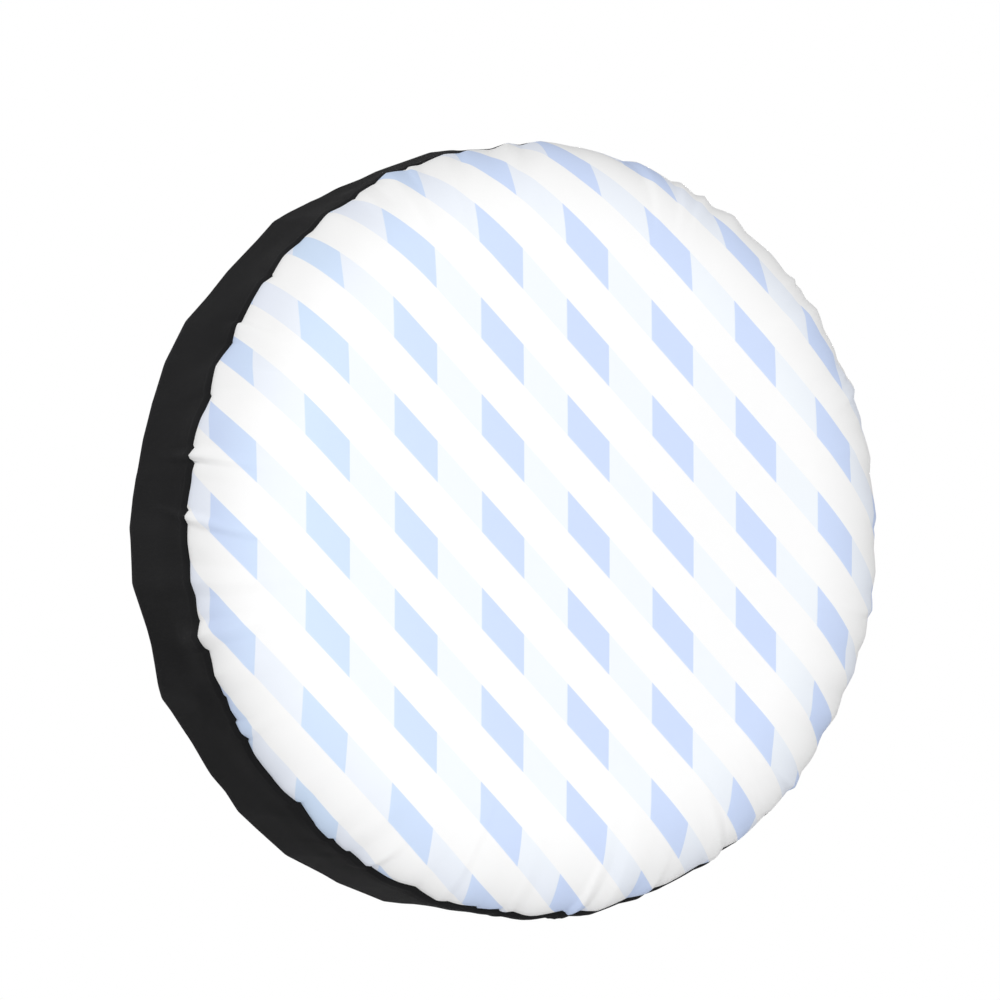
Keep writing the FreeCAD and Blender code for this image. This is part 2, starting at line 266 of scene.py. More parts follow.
def dyedCloth(name):
    # two near colours by noise, paler on a raised fold (partly wear, partly a painted highlight), with
    # painted shade in the hollows and between the threads
    low, high, pitch, depth, sheen = clothColours[name]
    look = Look(name)
    u, v = look.uv()
    cloud = look.ramp(look.noise(14.0, 5.0), 0.3, 0.72)
    color = look.mix(cloud, seen(*low), seen(*high))
    # paler on raised folds: partly wear, partly a painted highlight that makes the gathers show
    ridgeWearAndHighlight = look.ramp(look.fold(), 0.0012, 0.0048)
    color = look.mix(look.times(ridgeWearAndHighlight, 0.5), color, seen(*[c + 12 for c in high]))
    # painted shade: darker where the cloth lies below its outline, in the hollows of the folds
    paintedHollowShade = look.ramp(look.fold(), -0.0004, -0.0045)
    color = look.mix(look.times(paintedHollowShade, 0.5), color, seen(*[c * 0.6 for c in low]))
    threads = weave(look, u, v, pitch)
    # painted shade: darker between the threads
    gaps = look.times(look.math("SUBTRACT", 1.0, threads), 0.3)
    color = look.mix(gaps, color, seen(*[c * 0.6 for c in low]))
    lint = look.ramp(look.noise(420.0, 2.0, 0.7), 0.70, 0.78)
    color = look.mix(look.times(lint, 0.2), color, seen(110, 110, 112))
    normal = look.bump(threads, 0.45, depth)
    normal = look.bump(look.noise(30.0, 4.0), 0.12, 0.002, normal)
    rough = look.plus(look.times(cloud, 0.1), 0.84)
    return look.finish(color, rough, normal, Sheen_Weight=sheen, Sheen_Roughness=0.5, Specular_IOR_Level=0.04)


def feltCloth():
    # matted fibres: fine noise over a cloudy grey
    look = Look("felt")
    fibre = look.noise(900.0, 5.0, 0.7)
    color = look.mix(look.ramp(look.noise(35.0, 4.0), 0.3, 0.7), seen(208, 210, 212), seen(216, 218, 220))
    color = look.mix(look.times(look.ramp(fibre, 0.45, 0.7), 0.2), color, seen(178, 180, 184))
    return look.finish(color, 0.95, look.bump(fibre, 0.5, 0.0007), Sheen_Weight=0.25, Sheen_Roughness=0.6)


bandColours = {
    # name: the darker and the paler colour, the ribs' pitch and their depth
    "elasticBand": ((34, 34, 37), (46, 46, 49), 0.0016, 0.0005),
    "webbing": ((30, 30, 32), (42, 42, 45), 0.0021, 0.0006),
}


def ribbedBand(name):
    # a narrow woven band: ribs across its length, |sin(pi u / pitch)|, with a slanting twill in each
    low, high, pitch, depth = bandColours[name]
    look = Look(name)
    u, v = look.uv()
    rib = look.math("ABSOLUTE", look.math("SINE", look.times(u, pi / pitch)))
    slant = look.plus(u, look.times(v, 1.7))
    slant = look.math("SINE", look.times(slant, tau / (pitch * 0.8)))
    height = look.plus(rib, look.times(slant, 0.3))
    cloud = look.noise(40.0, 4.0)
    color = look.mix(look.ramp(cloud, 0.3, 0.7), seen(*low), seen(*high))
    # painted shade: darker in the grooves between the ribs
    paintedGrooveShade = look.times(look.ramp(rib, 0.5, 0.05), 0.55)
    color = look.mix(paintedGrooveShade, color, seen(*[c * 0.5 for c in low]))
    rough = look.plus(look.times(cloud, 0.15), 0.55)
    bumped = look.bump(height, 0.7, depth)
    return look.finish(color, rough, bumped, Sheen_Weight=0.08, Sheen_Roughness=0.4, Specular_IOR_Level=0.25)


def twistedThread():
    # dark and paler strands mixed by a very fine noise
    look = Look("thread")
    twist = look.noise(1400.0, 2.0)
    color = look.mix(twist, seen(34, 34, 36), seen(78, 78, 82))
    return look.finish(color, 0.55, look.bump(twist, 0.5, 0.0002), Sheen_Weight=0.2)


def mouldedPlastic():
    # a fine grain from the mould, cloudy gloss, and faint pale scuffs where a rough noise is highest
    look = Look("mouldedPlastic")
    flow = look.noise(55.0, 4.0)
    scuff = look.ramp(look.noise(220.0, 6.0, 0.75), 0.62, 0.74)
    color = look.mix(look.ramp(flow, 0.3, 0.7), seen(27, 27, 29), seen(36, 36, 38))
    color = look.mix(look.times(scuff, 0.25), color, seen(92, 92, 94))
    rough = look.plus(look.times(flow, 0.2), 0.36)
    return look.finish(color, rough, look.bump(look.noise(1500.0), 0.22, 0.00015), Specular_IOR_Level=0.35)


def pressedBrass():
    # bright brass that turns dull and rough where a noise is high
    look = Look("pressedBrass")
    stain = look.ramp(look.noise(260.0, 5.0, 0.65), 0.45, 0.7)
    color = look.mix(stain, (0.80, 0.62, 0.30, 1.0), (0.50, 0.36, 0.17, 1.0))
    rough = look.plus(look.times(stain, 0.25), 0.24)
    return look.finish(color, rough, look.bump(look.noise(900.0, 2.0), 0.1, 0.0002), Metallic=1.0)


def labelRibbon():
    # satin ribbon: close slanting ridges on a slightly cloudy off-white
    look = Look("labelRibbon")
    u, v = look.uv()
    ridge = look.math("SINE", look.times(look.plus(u, v), tau / 0.0006))
    color = look.mix(look.ramp(look.noise(90.0, 4.0), 0.35, 0.7), seen(236, 236, 232), seen(230, 229, 224))
    return look.finish(color, 0.42, look.bump(ridge, 0.25, 0.0001), Sheen_Weight=0.2)


looks = {
    "printed_cloth": printedCloth(printSetup),
    "black_cloth": dyedCloth("blackCloth"),
    "binding_tape": dyedCloth("bindingTape"),
    "felt": feltCloth(),
    "elastic": ribbedBand("elasticBand"),
    "webbing": ribbedBand("webbing"),
    "thread": twistedThread(),
    "buckle_plastic": mouldedPlastic(),
    "eyelet_brass": pressedBrass(),
    "label_cloth": labelRibbon(),
}
print("materials made")


def meshOf(name, points, quads, uv, fold=None, extra=(), extraUv=()):
    # quads and then any other faces, with one uv for each corner of each face
    used, quads = np.unique(quads, return_inverse=True)
    quads = quads.reshape(-1, 4)
    renumber = np.zeros(len(points), int)
    renumber[used] = np.arange(len(used))
    tips = [renumber[np.asarray(face)] for face in extra]
    corners = np.concatenate([quads.ravel(), *tips]).astype(np.int32)
    sizes = np.array([4] * len(quads) + [len(face) for face in extra])
    starts = np.concatenate([[0], np.cumsum(sizes)[:-1]]).astype(np.int32)
    mesh = bpy.data.meshes.new(name)
    mesh.vertices.add(len(used))
    mesh.vertices.foreach_set("co", points[used].astype(np.float32).ravel())
    mesh.loops.add(len(corners))
    mesh.loops.foreach_set("vertex_index", corners)
    mesh.polygons.add(len(sizes))
    mesh.polygons.foreach_set("loop_start", starts)
    mesh.polygons.foreach_set("use_smooth", np.ones(len(sizes), bool))
    mesh.update(calc_edges=True)
    layer = mesh.uv_layers.new(name="cloth")
    layer.data.foreach_set("uv", np.concatenate([uv.reshape(-1, 2), *extraUv]).astype(np.float32).ravel())
    heights = np.zeros(len(points)) if fold is None else fold.ravel()
    raised = mesh.attributes.new("fold", "FLOAT", "POINT")
    raised.data.foreach_set("value", heights[used].astype(np.float32))
    piece = bpy.data.objects.new(name, mesh)
    bpy.context.collection.objects.link(piece)
    return piece


def gridMesh(name, points, uv, fold=None, ring=False, tube=False, caps=False, drop=None):
    # a quad for each step of points[i, j]. ring closes i on itself and tube closes j. uv has one more row or
    # column than points where it closes. caps closes a tube's two ends, and drop leaves quads out
    n, m = points.shape[:2]
    i, j = np.meshgrid(np.arange(n - (not ring)), np.arange(m - (not tube)), indexing="ij")
    i, j = i.ravel(), j.ravel()
    if drop is not None:
        kept = ~drop[i, j]
        i, j = i[kept], j[kept]
    steps = ((i, j), (i, j + 1), (i + 1, j + 1), (i + 1, j))
    quads = np.stack([(a % n) * m + b % m for a, b in steps], axis=1)
    corners = np.stack([uv[a, b] for a, b in steps], axis=1)
    ends = [np.arange(m)[::-1], (n - 1) * m + np.arange(m)] if caps else []
    endUv = [uv[0, :m][::-1], uv[n - 1, :m]] if caps else []
    return meshOf(name, points.reshape(-1, 3), quads, corners, fold, ends, endUv)


def closeUp(piece, corners=0):
    # turns every face outwards, after one more face has filled the open rim that has that many corners
    work = bmesh.new()
    work.from_mesh(piece.data)
    if corners:
        rim = [edge for edge in work.edges if edge.is_boundary]
        near = [edge for edge in rim if np.hypot(edge.verts[0].co.x, edge.verts[0].co.z) < 0.01]
        made = bmesh.ops.contextual_create(work, geom=near if len(near) == corners else rim)["faces"]
        uv = work.loops.layers.uv.active
        for corner in made[0].loops:
            corner[uv].uv = (corner.vert.co.x, corner.vert.co.z)
        made[0].smooth = True
    bmesh.ops.recalc_face_normals(work, faces=work.faces)
    work.to_mesh(piece.data)
    work.free()


def dress(piece, slotName, *nodes, body="cover"):
    # gives a piece its material, the body that it rides on and the nodes that it stands for
    piece.data.materials.append(looks[slotName])
    if body:
        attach(piece, body)
    if nodes:
        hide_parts(*nodes)


def thicken(piece, thickness):
    # the wall grows inwards from the surface that was worked out
    wall = piece.modifiers.new("wall", "SOLIDIFY")
    wall.thickness = thickness
    wall.offset = -1.0


# the plain outline of the cover, before any fold
coverSetup = {
    "radius": boxSpan("side_band", 0)[1],
    "frontY": boxSpan("front_panel", 1)[0],
    "rearY": boxSpan("rear_skirt", 1)[1],
    "hemRadius": boxSpan("hem_casing", 0)[1],
    "frontRadial": 0.105,  # the front shoulder is a quarter ellipse, and so is the rear one
    "frontDeep": 0.077,
    "rearRadial": 0.036,
    "rearDeep": 0.034,
    "frontSeamAngle": 79.2,
    "rearSeamAngle": 40.0,
    "cloth": 0.0009,
}


def makeOutline(setup):
    # flat face, then r = flat + a sin t with y = front + b (1 - cos t), a cylinder, the rear quarter ellipse
    # the other way round, and a flat skirt. s sums the lengths, and the normal is (dy, -dr) / ds
    t = np.linspace(0, pi / 2, 200)
    flat = setup["radius"] - setup["frontRadial"]
    rearFlat = setup["radius"] - setup["rearRadial"]
    rearStart = setup["rearY"] - setup["rearDeep"]
    frontR = flat + setup["frontRadial"] * np.sin(t)
    frontY = setup["frontY"] + setup["frontDeep"] * (1 - np.cos(t))
    rearR = rearFlat + setup["rearRadial"] * np.cos(t)
    rearY = rearStart + setup["rearDeep"] * np.sin(t)
    r = np.concatenate([[0.0], frontR, rearR, [setup["hemRadius"]]])
    y = np.concatenate([[setup["frontY"]], frontY, rearY, [setup["rearY"]]])
    s = np.concatenate([[0.0], np.cumsum(np.hypot(np.diff(r), np.diff(y)))])
    even = np.linspace(0, s[-1], 1600)
    evenR, evenY = np.interp(even, s, r), np.interp(even, s, y)
    blur = np.hanning(17) / np.hanning(17).sum()
    dr = np.convolve(np.pad(np.gradient(evenR), 8, mode="edge"), blur, mode="valid")
    dy = np.convolve(np.pad(np.gradient(evenY), 8, mode="edge"), blur, mode="valid")
    size = np.hypot(dr, dy)
    return {
        "s": even, "r": evenR, "y": evenY, "nr": dy / size, "ny": -dr / size, "flat": flat, "end": s[-1],
        "frontSeam": np.interp(radians(setup["frontSeamAngle"]), t, s[1:201]),
        "rearSeam": np.interp(radians(setup["rearSeamAngle"]), t, s[201:401]),
    }


outline = makeOutline(coverSetup)


def uneven(seed, gapLow, gapHigh, soften, dip=0.0):
    # a line of random heights from -1 to 1 round the cover: knots at random gaps, straight in between, less
    # dip (x - knot) (next knot - x), then a moving average over the given length
    rng = np.random.default_rng(seed)
    around = tau * coverSetup["radius"]
    knots = np.cumsum(rng.uniform(gapLow, gapHigh, int(around / gapLow) + 2))
    knots = knots[knots < around - gapLow * 0.6]
    heights = rng.uniform(-1, 1, len(knots))
    fine = np.linspace(0, around, 5001)[:-1]
    line = np.interp(fine, knots, heights, period=around)
    at = np.searchsorted(knots, fine)
    ends = np.concatenate([[knots[-1] - around], knots, [knots[0] + around]])
    line = line - dip * (fine - ends[at]) * (ends[at + 1] - fine)
    width = max(1, int(soften / around * 5000))
    padded = np.concatenate([line[-width:], line, line[:width]])
    line = np.convolve(padded, np.ones(width) / width, mode="same")[width:-width]
    return lambda a: np.interp(np.mod(a, tau) * coverSetup["radius"], fine, line, period=around)


def lobes(seed, gapLow, gapHigh):
    # the cloth between one tuck and the next, all the way round. For an angle it gives the lobe's shape
    # there, a rise to a peak and a fall, min(x / peak, (1 - x) / (1 - peak)), mostly straight and a fifth
    # sine, then how far across the lobe it lies, from -0.5 to 0.5, and its random height, reach and step
    rng = np.random.default_rng(seed)
    around = tau * coverSetup["radius"]
    gaps = rng.uniform(gapLow, gapHigh, int(2 * around / (gapLow + gapHigh)))
    knots = np.concatenate([[0], np.cumsum(gaps)]) / gaps.sum() * around
    height = 0.15 + 0.85 * rng.uniform(0, 1, len(gaps)) ** 1.4
    peak = rng.uniform(0.2, 0.8, len(gaps))
    reach = rng.uniform(0.6, 1.5, len(gaps))
    step = rng.choice([-1.0, -0.3, 0.0, 0.0, 0.0, 0.3, 1.0], len(gaps))

    def at(a):
        where = np.mod(a, tau) * coverSetup["radius"]
        k = np.clip(np.searchsorted(knots, where, side="right") - 1, 0, len(gaps) - 1)
        x = (where - knots[k]) / (knots[k + 1] - knots[k])
        rise = np.clip(np.minimum(x / peak[k], (1 - x) / (1 - peak[k])), 0, 1)
        return 0.8 * rise + 0.2 * np.sin(pi / 2 * rise), x - 0.5, height[k], reach[k], step[k]

    return at


foldSetup = {
    "seamTilt": 0.0115,  # the front seam lies this much further back at the top, and forward at the bottom
    "seamBack": 0.0026,
    "seamJag": 0.0030,
    "seamStep": 0.0075,
    "seamLobe": 0.0016,
    "tuck": 0.0052,
    "seamFold": 0.0028,
    "reach": 0.055,
    "slant": 1.6,
    "pinch": 0.0016,
    "pinchWidth": 0.003,
    "swell": 0.0012,
    "turnedEdge": 0.0009,
    "bandFacet": 0.0036,
    "rearPucker": 0.0016,
    "gather": 0.0082,
    "longGather": 0.0036,
    "crown": 0.003,
    "bandShare": 0.75,  # how much of a lobe's height and reach is left on the band
    "swellAt": 0.016,
    "edgeAt": 0.0075,
    "edgeWidth": 0.0028,
    "facetFrom": 0.015,
    "facetOver": 0.05,
    "rearReach": 0.03,
    "rearPinchWidth": 0.0035,
    "joinAngle": radians(-50.0),
    "joinGroove": 0.0013,
    "joinWidth": 0.002,
}
frontTuck = lobes(5, 0.013, 0.058)
seamJag = uneven(3, 0.014, 0.045, 0.001)
slantLine = uneven(44, 0.06, 0.15, 0.03)
seamFold = uneven(7, 0.016, 0.050, 0.010)
longFold = uneven(12, 0.05, 0.12, 0.03)
# a chord lies x (gap - x) / (2 radius) inside its arc, which makes each facet of the band straight
chordDip = 1 / (2 * coverSetup["radius"] * foldSetup["bandFacet"])
bandFacet = uneven(21, 0.035, 0.075, 0.002, chordDip)
rearPucker = uneven(22, 0.02, 0.05, 0.008)
hemTuck = lobes(31, 0.016, 0.042)
hemLongTuck = lobes(32, 0.05, 0.12)
foldReach = uneven(41, 0.05, 0.12, 0.02)


def tuckHeight(line, a):
    # a lobe's shape times its own height
    shape, _, height, _, _ = line(a)
    return height * shape


def frontSeamAt(a):
    # further back towards the top, pushed back by each lobe, with a jump at some of the tucks
    f = foldSetup
    shape, across, height, _, step = frontTuck(a)
    plain = outline["frontSeam"] + f["seamBack"] + f["seamTilt"] * np.sin(a)
    lobe = f["seamLobe"] * height * shape
    return plain + lobe + f["seamJag"] * seamJag(a) + f["seamStep"] * step * across


# the cloth lies flat under each patch and from there over the hem, and under the label
hemInside = 0.185
heldReach = 0.011
heldFlat = [(boxSpan("size_label", 0), boxSpan("size_label", 2))]
for side in ("left", "right"):
    for level in ("upper", "lower"):
        patch = f"{side}_{level}_strap_patch"
        heights = np.append(boxSpan(patch, 2), hemInside if level == "upper" else -hemInside)
        heldFlat.append((boxSpan(patch, 0), np.array([heights.min(), heights.max()])))
skirtY = 0.09  # the skirt lies further back than this
eyeletY = boxSpan("drain_eyelet", 1).mean()
eyeletReach = 0.015
bottomZ = -0.3  # and the eyelet lies lower than this


def slack(x, y, z):
    # 0 where the cloth is held flat by a patch, the label or the eyelet, else 1 - exp(-(distance / reach)^2)
    free = np.ones_like(x)
    for xs, zs in heldFlat:
        dx = np.maximum(np.abs(x - xs.mean()) - np.ptp(xs) / 2, 0)
        dz = np.maximum(np.abs(z - zs.mean()) - np.ptp(zs) / 2, 0)
        nearby = bell(np.hypot(dx, dz), heldReach) * (y > skirtY)
        free = np.minimum(free, 1 - nearby)
    atEyelet = np.exp(-((np.hypot(x, y - eyeletY) / eyeletReach) ** 4)) * (z < bottomZ)
    return np.minimum(free, 1 - atEyelet)


def foldHeight(a, s):
    # how far the cloth stands off the outline: lobes between tucks and softer folds, which fade either side
    # of the front seam as exp(-(distance / reach)^2), a pinch -exp(-distance / width) at each seam with a
    # swell beside it, flat facets on the band, gathers that grow as (the way to the hem)^1.8, and a crown
    f = foldSetup
    d = s - frontSeamAt(a)
    front, away = d < 0, np.abs(d)
    share = np.where(front, 1.0, f["bandShare"])
    shape, _, height, far, _ = frontTuck(a + f["slant"] * slantLine(a) * d)
    h = f["tuck"] * height * shape * bell(away, f["reach"] * far * share) * share
    reach = f["reach"] * (1 + 0.45 * foldReach(a))
    h = h + f["seamFold"] * (0.7 * seamFold(a) + 0.5 * longFold(a)) * bell(away, reach)
    h = h - f["pinch"] * np.exp(-away / f["pinchWidth"])
    h = h + f["swell"] * away / f["swellAt"] * np.exp(1 - away / f["swellAt"]) * np.where(front, 1.0, 0.3)
    h = h + f["turnedEdge"] * bell(d - f["edgeAt"], f["edgeWidth"])
    rear = s - outline["rearSeam"]
    rise = np.clip((d - f["facetFrom"]) / f["facetOver"], 0, 1)
    fall = np.clip(1 - rear / f["facetOver"], 0, 1)
    h = h + f["bandFacet"] * bandFacet(a) * rise**2 * (3 - 2 * rise) * fall**2 * (3 - 2 * fall)
    h = h + f["rearPucker"] * rearPucker(a) * bell(rear, f["rearReach"])
    h = h - f["rearPucker"] * np.exp(-np.abs(rear) / f["rearPinchWidth"])
    way = np.clip(rear / (outline["end"] - outline["rearSeam"]), 0, 1)
    h = h + f["gather"] * (tuckHeight(hemTuck, a) - 0.62) * way**1.8
    h = h + f["longGather"] * (tuckHeight(hemLongTuck, a) - 0.5) * way
    join = np.angle(np.exp(1j * (a - f["joinAngle"]))) * coverSetup["radius"]
    onBand = (d > 0) & (rear < 0)
    h = h - f["joinGroove"] * np.exp(-np.abs(join) / f["joinWidth"]) * onBand
    return h + f["crown"] * (1 - np.clip(s / outline["flat"], 0, 1) ** 2)


def skin(a, s, lift=0.0):
    # (r + h nr) round the axis and y + h ny, where h is the fold's height plus any lift
    a, s = np.broadcast_arrays(a, s)
    r, y, nr, ny = [np.interp(s, outline["s"], outline[key]) for key in ("r", "y", "nr", "ny")]
    fold = foldHeight(a, s) * slack(r * np.cos(a), y, r * np.sin(a))
    out = r + (fold + lift) * nr
    return np.stack([out * np.cos(a), y + (fold + lift) * ny, out * np.sin(a)], axis=-1), fold


def clothBand(name, around, share, start, stop, lift=0.0, edges=(0.0, 0.0), flatUv=False, hole=None):
    # a ring of cloth from length start to length stop, either of which may be a function of the angle. edges
    # turns the first and last rows in by that much, like a seam allowance. uv is the cloth's own plane, and
    # hole tells from the points which quads are left out
    a = turns(around)[:, None]
    begin = start(a) if callable(start) else start
    finish = stop(a) if callable(stop) else stop
    s = begin + (finish - begin) * share[None, :] + 0 * a
    rows = np.full(len(share), lift)
    rows[0] -= edges[0]
    rows[-1] -= edges[1]
    points, fold = skin(a[:-1], s[:-1], rows[None, :])
    if flatUv:
        uv = np.stack([s * np.cos(a), s * np.sin(a)], axis=-1)
    else:
        uv = np.stack([a * coverSetup["radius"] + 0 * s, s], axis=-1)
    return gridMesh(name, points, uv, fold, ring=True, drop=hole(points) if hole else None)


panelSetup = {
    "around": 864,
    "rows": 54,
    "crowd": 1.9,  # how strongly the rows close up towards the seam
    "seamAllowance": 0.004,
    "cutAllowance": 0.012,
    "liningAround": 640,
    "liningRows": 48,
    "liningCrowd": 1.6,
    "liningThick": 0.0014,
    "liningGap": 0.0013,
    "liningShort": 0.001,
}


def crowdedRows(rows, crowd):
    # 1 - (1 - x)^crowd for even x, with the first row just off the middle
    share = 1 - (1 - np.linspace(0, 1, rows)) ** crowd
    share[0] = 0.0015
    return share


def besideSeam(offset):
    # a line that keeps this distance from the front seam
    return lambda a: frontSeamAt(a) + offset


def makeFrontPanel(setup):
    # the print lies flat in the cloth's own plane, and one more row past the seam is turned in
    share = np.append(crowdedRows(setup["rows"], setup["crowd"]), 1.0003)
    around, edges = setup["around"], (0.0, setup["seamAllowance"])
    panel = clothBand("front_panel_cloth", around, share, 0.0, frontSeamAt, edges=edges, flatUv=True)
    closeUp(panel, around)
    thicken(panel, coverSetup["cloth"])
    dress(panel, "printed_cloth", "front_panel")


def makeLining(setup):
    # the felt under the printed cloth, which ends just before the seam
    share = crowdedRows(setup["liningRows"], setup["liningCrowd"])
    around, lift = setup["liningAround"], -setup["liningGap"]
    stop = besideSeam(-setup["liningShort"])
    lining = clothBand("front_lining_felt", around, share, 0.0, stop, lift=lift, flatUv=True)
    closeUp(lining, around)
    thicken(lining, setup["liningThick"])
    dress(lining, "felt", "front_lining")

makeFrontPanel(panelSetup)
makeLining(panelSetup)
print("front panel and lining made")

bandSetup = {
    "around": 864,
    "rows": 54,
    "skirtAround": 1200,
    "skirtRows": 38,
    "turnedIn": 0.0035,  # both pieces' edges at the rear seam
    "eyeletHole": 0.0073,
    "bandAllowance": 0.02,
    "skirtAllowance": 0.012,
    "skirtCut": 0.86,  # how much of the strip is left once its curve is cut
}


def makeSideBand(setup):
    # rows close up at both seams as a half cosine, mixed with even steps
    x = np.linspace(0, 1, setup["rows"])
    share = 0.45 * x + 0.55 * (0.5 - 0.5 * np.cos(pi * x))
    share = np.concatenate([[-0.001], share, [1.001]])

    def hole(points):
        # the quads whose middle lies nearer to the eyelet's than the hole's radius
        middle = (points[:-1, :-1] + points[1:, 1:]) / 2
        inside = np.hypot(middle[..., 0], middle[..., 1] - eyeletY) < setup["eyeletHole"]
        missing = np.zeros(points.shape[:2], bool)
        missing[:-1, :-1] = inside & (middle[..., 2] < bottomZ)
        return missing

    start, stop = frontSeamAt, outline["rearSeam"]
    edges = (panelSetup["seamAllowance"], setup["turnedIn"])
    band = clothBand("side_band_cloth", setup["around"], share, start, stop, edges=edges, hole=hole)
    thicken(band, coverSetup["cloth"])
    dress(band, "black_cloth", "side_band")


def makeSkirt(setup):
    # even rows from the rear seam to the hem, after one that is turned in at the seam
    share = np.concatenate([[-0.001], np.linspace(0, 1, setup["skirtRows"])])
    start, stop = outline["rearSeam"], outline["end"]
    edges = (setup["turnedIn"], 0.0)
    skirt = clothBand("rear_skirt_cloth", setup["skirtAround"], share, start, stop, edges=edges)
    thicken(skirt, coverSetup["cloth"])
    dress(skirt, "black_cloth", "rear_skirt")

makeSideBand(bandSetup)
makeSkirt(bandSetup)
print("side band and rear skirt made")

casingSetup = {
    "around": 1400,
    "section": 22,
    "square": 0.72,
    "spare": 0.001,
    "ruffle": 0.0012,
    "fuller": 0.22,  # how much thicker the casing gets between two tucks
    "evenTuck": 0.4,
    "uvRadius": 0.30,
    "elastic": {"section": 12, "width": 0.012, "thick": 0.0016, "square": 0.4, "uvRadius": 0.24},
}
casingX, casingY = boxSpan("hem_casing", 0), boxSpan("hem_casing", 1)
casing = {"outer": casingX[1], "inner": 0.232, "y": casingY.mean(), "thick": np.ptp(casingY)}
casing["middle"] = (casing["outer"] + casing["inner"]) / 2
casing["width"] = casing["outer"] - casing["inner"]


def hemFold(a):
    # the skirt's own fold at its inner edge, so that the casing ruffles with it and closes over it
    r = outline["r"][-1]
    return foldHeight(a, outline["end"]) * slack(r * np.cos(a), 0 * a + casing["y"], r * np.sin(a))


def hemFullness(a, fold):
    # 1 + fuller (tuck height - even tuck), and 1 where the cloth is held flat
    tuck = tuckHeight(hemTuck, a) - casingSetup["evenTuck"]
    return 1 + casingSetup["fuller"] * tuck * (np.abs(fold) > 1e-4)


def sectionRing(count, width, thick, square):
    # a squarish ellipse: half width * sign(cos t) |cos t|^square, half thickness * sign(sin t) |sin t|^square
    t = turns(count)
    across = width / 2 * np.sign(np.cos(t)) * np.abs(np.cos(t)) ** square
    up = thick / 2 * np.sign(np.sin(t)) * np.abs(np.sin(t)) ** square
    return across, up


def sweptRing(name, a, r, y, uv, fold=None):
    # a section carried round the axis at (r cos a, y, r sin a), wound so that its faces point outwards
    points = np.stack([r * np.cos(a), y, r * np.sin(a)], axis=-1)[:-1, :-1][:, ::-1]
    height = None if fold is None else (fold + 0 * y)[:-1, :-1][:, ::-1]
    return gridMesh(name, points, uv[:, ::-1], height, ring=True, tube=True)


def makeHem(setup):
    # the casing's section swept round the axis, lifted by the skirt's folds and fuller between them, with
    # the flat elastic inside it
    a = turns(setup["around"])[:, None]
    fold = hemFold(a)
    width = casing["width"] + setup["spare"]
    across, up = sectionRing(setup["section"], width, casing["thick"], setup["square"])
    ruffle = setup["ruffle"] * (tuckHeight(hemTuck, a) - setup["evenTuck"])
    r = casing["middle"] + across + ruffle * (across < 0)
    y = casing["y"] + fold + up * hemFullness(a, fold)
    length = np.concatenate([[0], np.cumsum(np.hypot(np.diff(across), np.diff(up)))])
    uv = np.stack([a * setup["uvRadius"] + 0 * y, length + 0 * y], axis=-1)
    hem = sweptRing("hem_casing_tape", a, r, y, uv, fold)
    dress(hem, "binding_tape", "hem_casing")
    inner = setup["elastic"]
    a, fold = a[::2], fold[::2]
    across, up = sectionRing(inner["section"], inner["width"], inner["thick"], inner["square"])
    y = casing["y"] + fold + up
    uv = np.stack([a * inner["uvRadius"] + 0 * y, across + 0 * y], axis=-1)
    elastic = sweptRing("hem_elastic_band", a, casing["middle"] + across, y, uv)
    dress(elastic, "elastic", "hem_elastic")

makeHem(casingSetup)
print("hem made")


bindingSetup = {
    "around": 720,
    "section": 14,
    "square": 0.5,
    "width": 0.013,
    "thick": 0.0022,
    "gap": 0.0003,
    "pastFrontSeam": 0.012,
    "beforeRearSeam": 0.030,
}
joinTapeSetup = {"width": 0.025, "thick": 0.001, "gap": 0.0002, "short": 0.030, "cells": (16, 60)}


def seamBinding(name, node, start, setup):
    # a folded tape inside a seam: a squarish section that follows the cloth at a fixed depth under it
    a = turns(setup["around"])[:, None]
    width, thick = setup["width"], setup["thick"]
    across, up = sectionRing(setup["section"], width, thick, setup["square"])
    begin = start(a) if callable(start) else start
    s = begin + width / 2 + across + 0 * a
    points, fold = skin(a, s, -coverSetup["cloth"] - setup["gap"] - thick / 2 + up)
    uv = np.stack([a * coverSetup["radius"] + 0 * s, across + up + 0 * s], axis=-1)
    tape = gridMesh(name, points[:-1, :-1], uv, fold[:-1, :-1], ring=True, tube=True)
    dress(tape, "binding_tape", node)


def makeJoinTape(setup):
    # a strip along the band's inside, over the seam where its two ends meet
    half = setup["width"] / 2 / coverSetup["radius"]
    a = (foldSetup["joinAngle"] + np.linspace(-half, half, setup["cells"][0]))[:, None]
    begin = frontSeamAt(foldSetup["joinAngle"]) + setup["short"]
    s = np.linspace(begin, outline["rearSeam"] - setup["short"], setup["cells"][1])[None, :]
    points, fold = skin(a, s, -coverSetup["cloth"] - setup["gap"])
    uv = np.stack([a * coverSetup["radius"] + 0 * s, s + 0 * a], axis=-1)
    tape = gridMesh("band_join_tape_strip", points, uv, fold)
    thicken(tape, setup["thick"])
    dress(tape, "binding_tape", "band_join_tape")

frontStart = besideSeam(bindingSetup["pastFrontSeam"])
rearStart = outline["rearSeam"] - bindingSetup["beforeRearSeam"]
seamBinding("front_seam_binding_tape", "front_seam_binding", frontStart, bindingSetup)
seamBinding("rear_seam_binding_tape", "rear_seam_binding", rearStart, bindingSetup)
makeJoinTape(joinTapeSetup)
print("bindings made")

stitchSetup = {"rings": 5, "sides": 6, "radius": 0.00032, "sink": 0.0004}


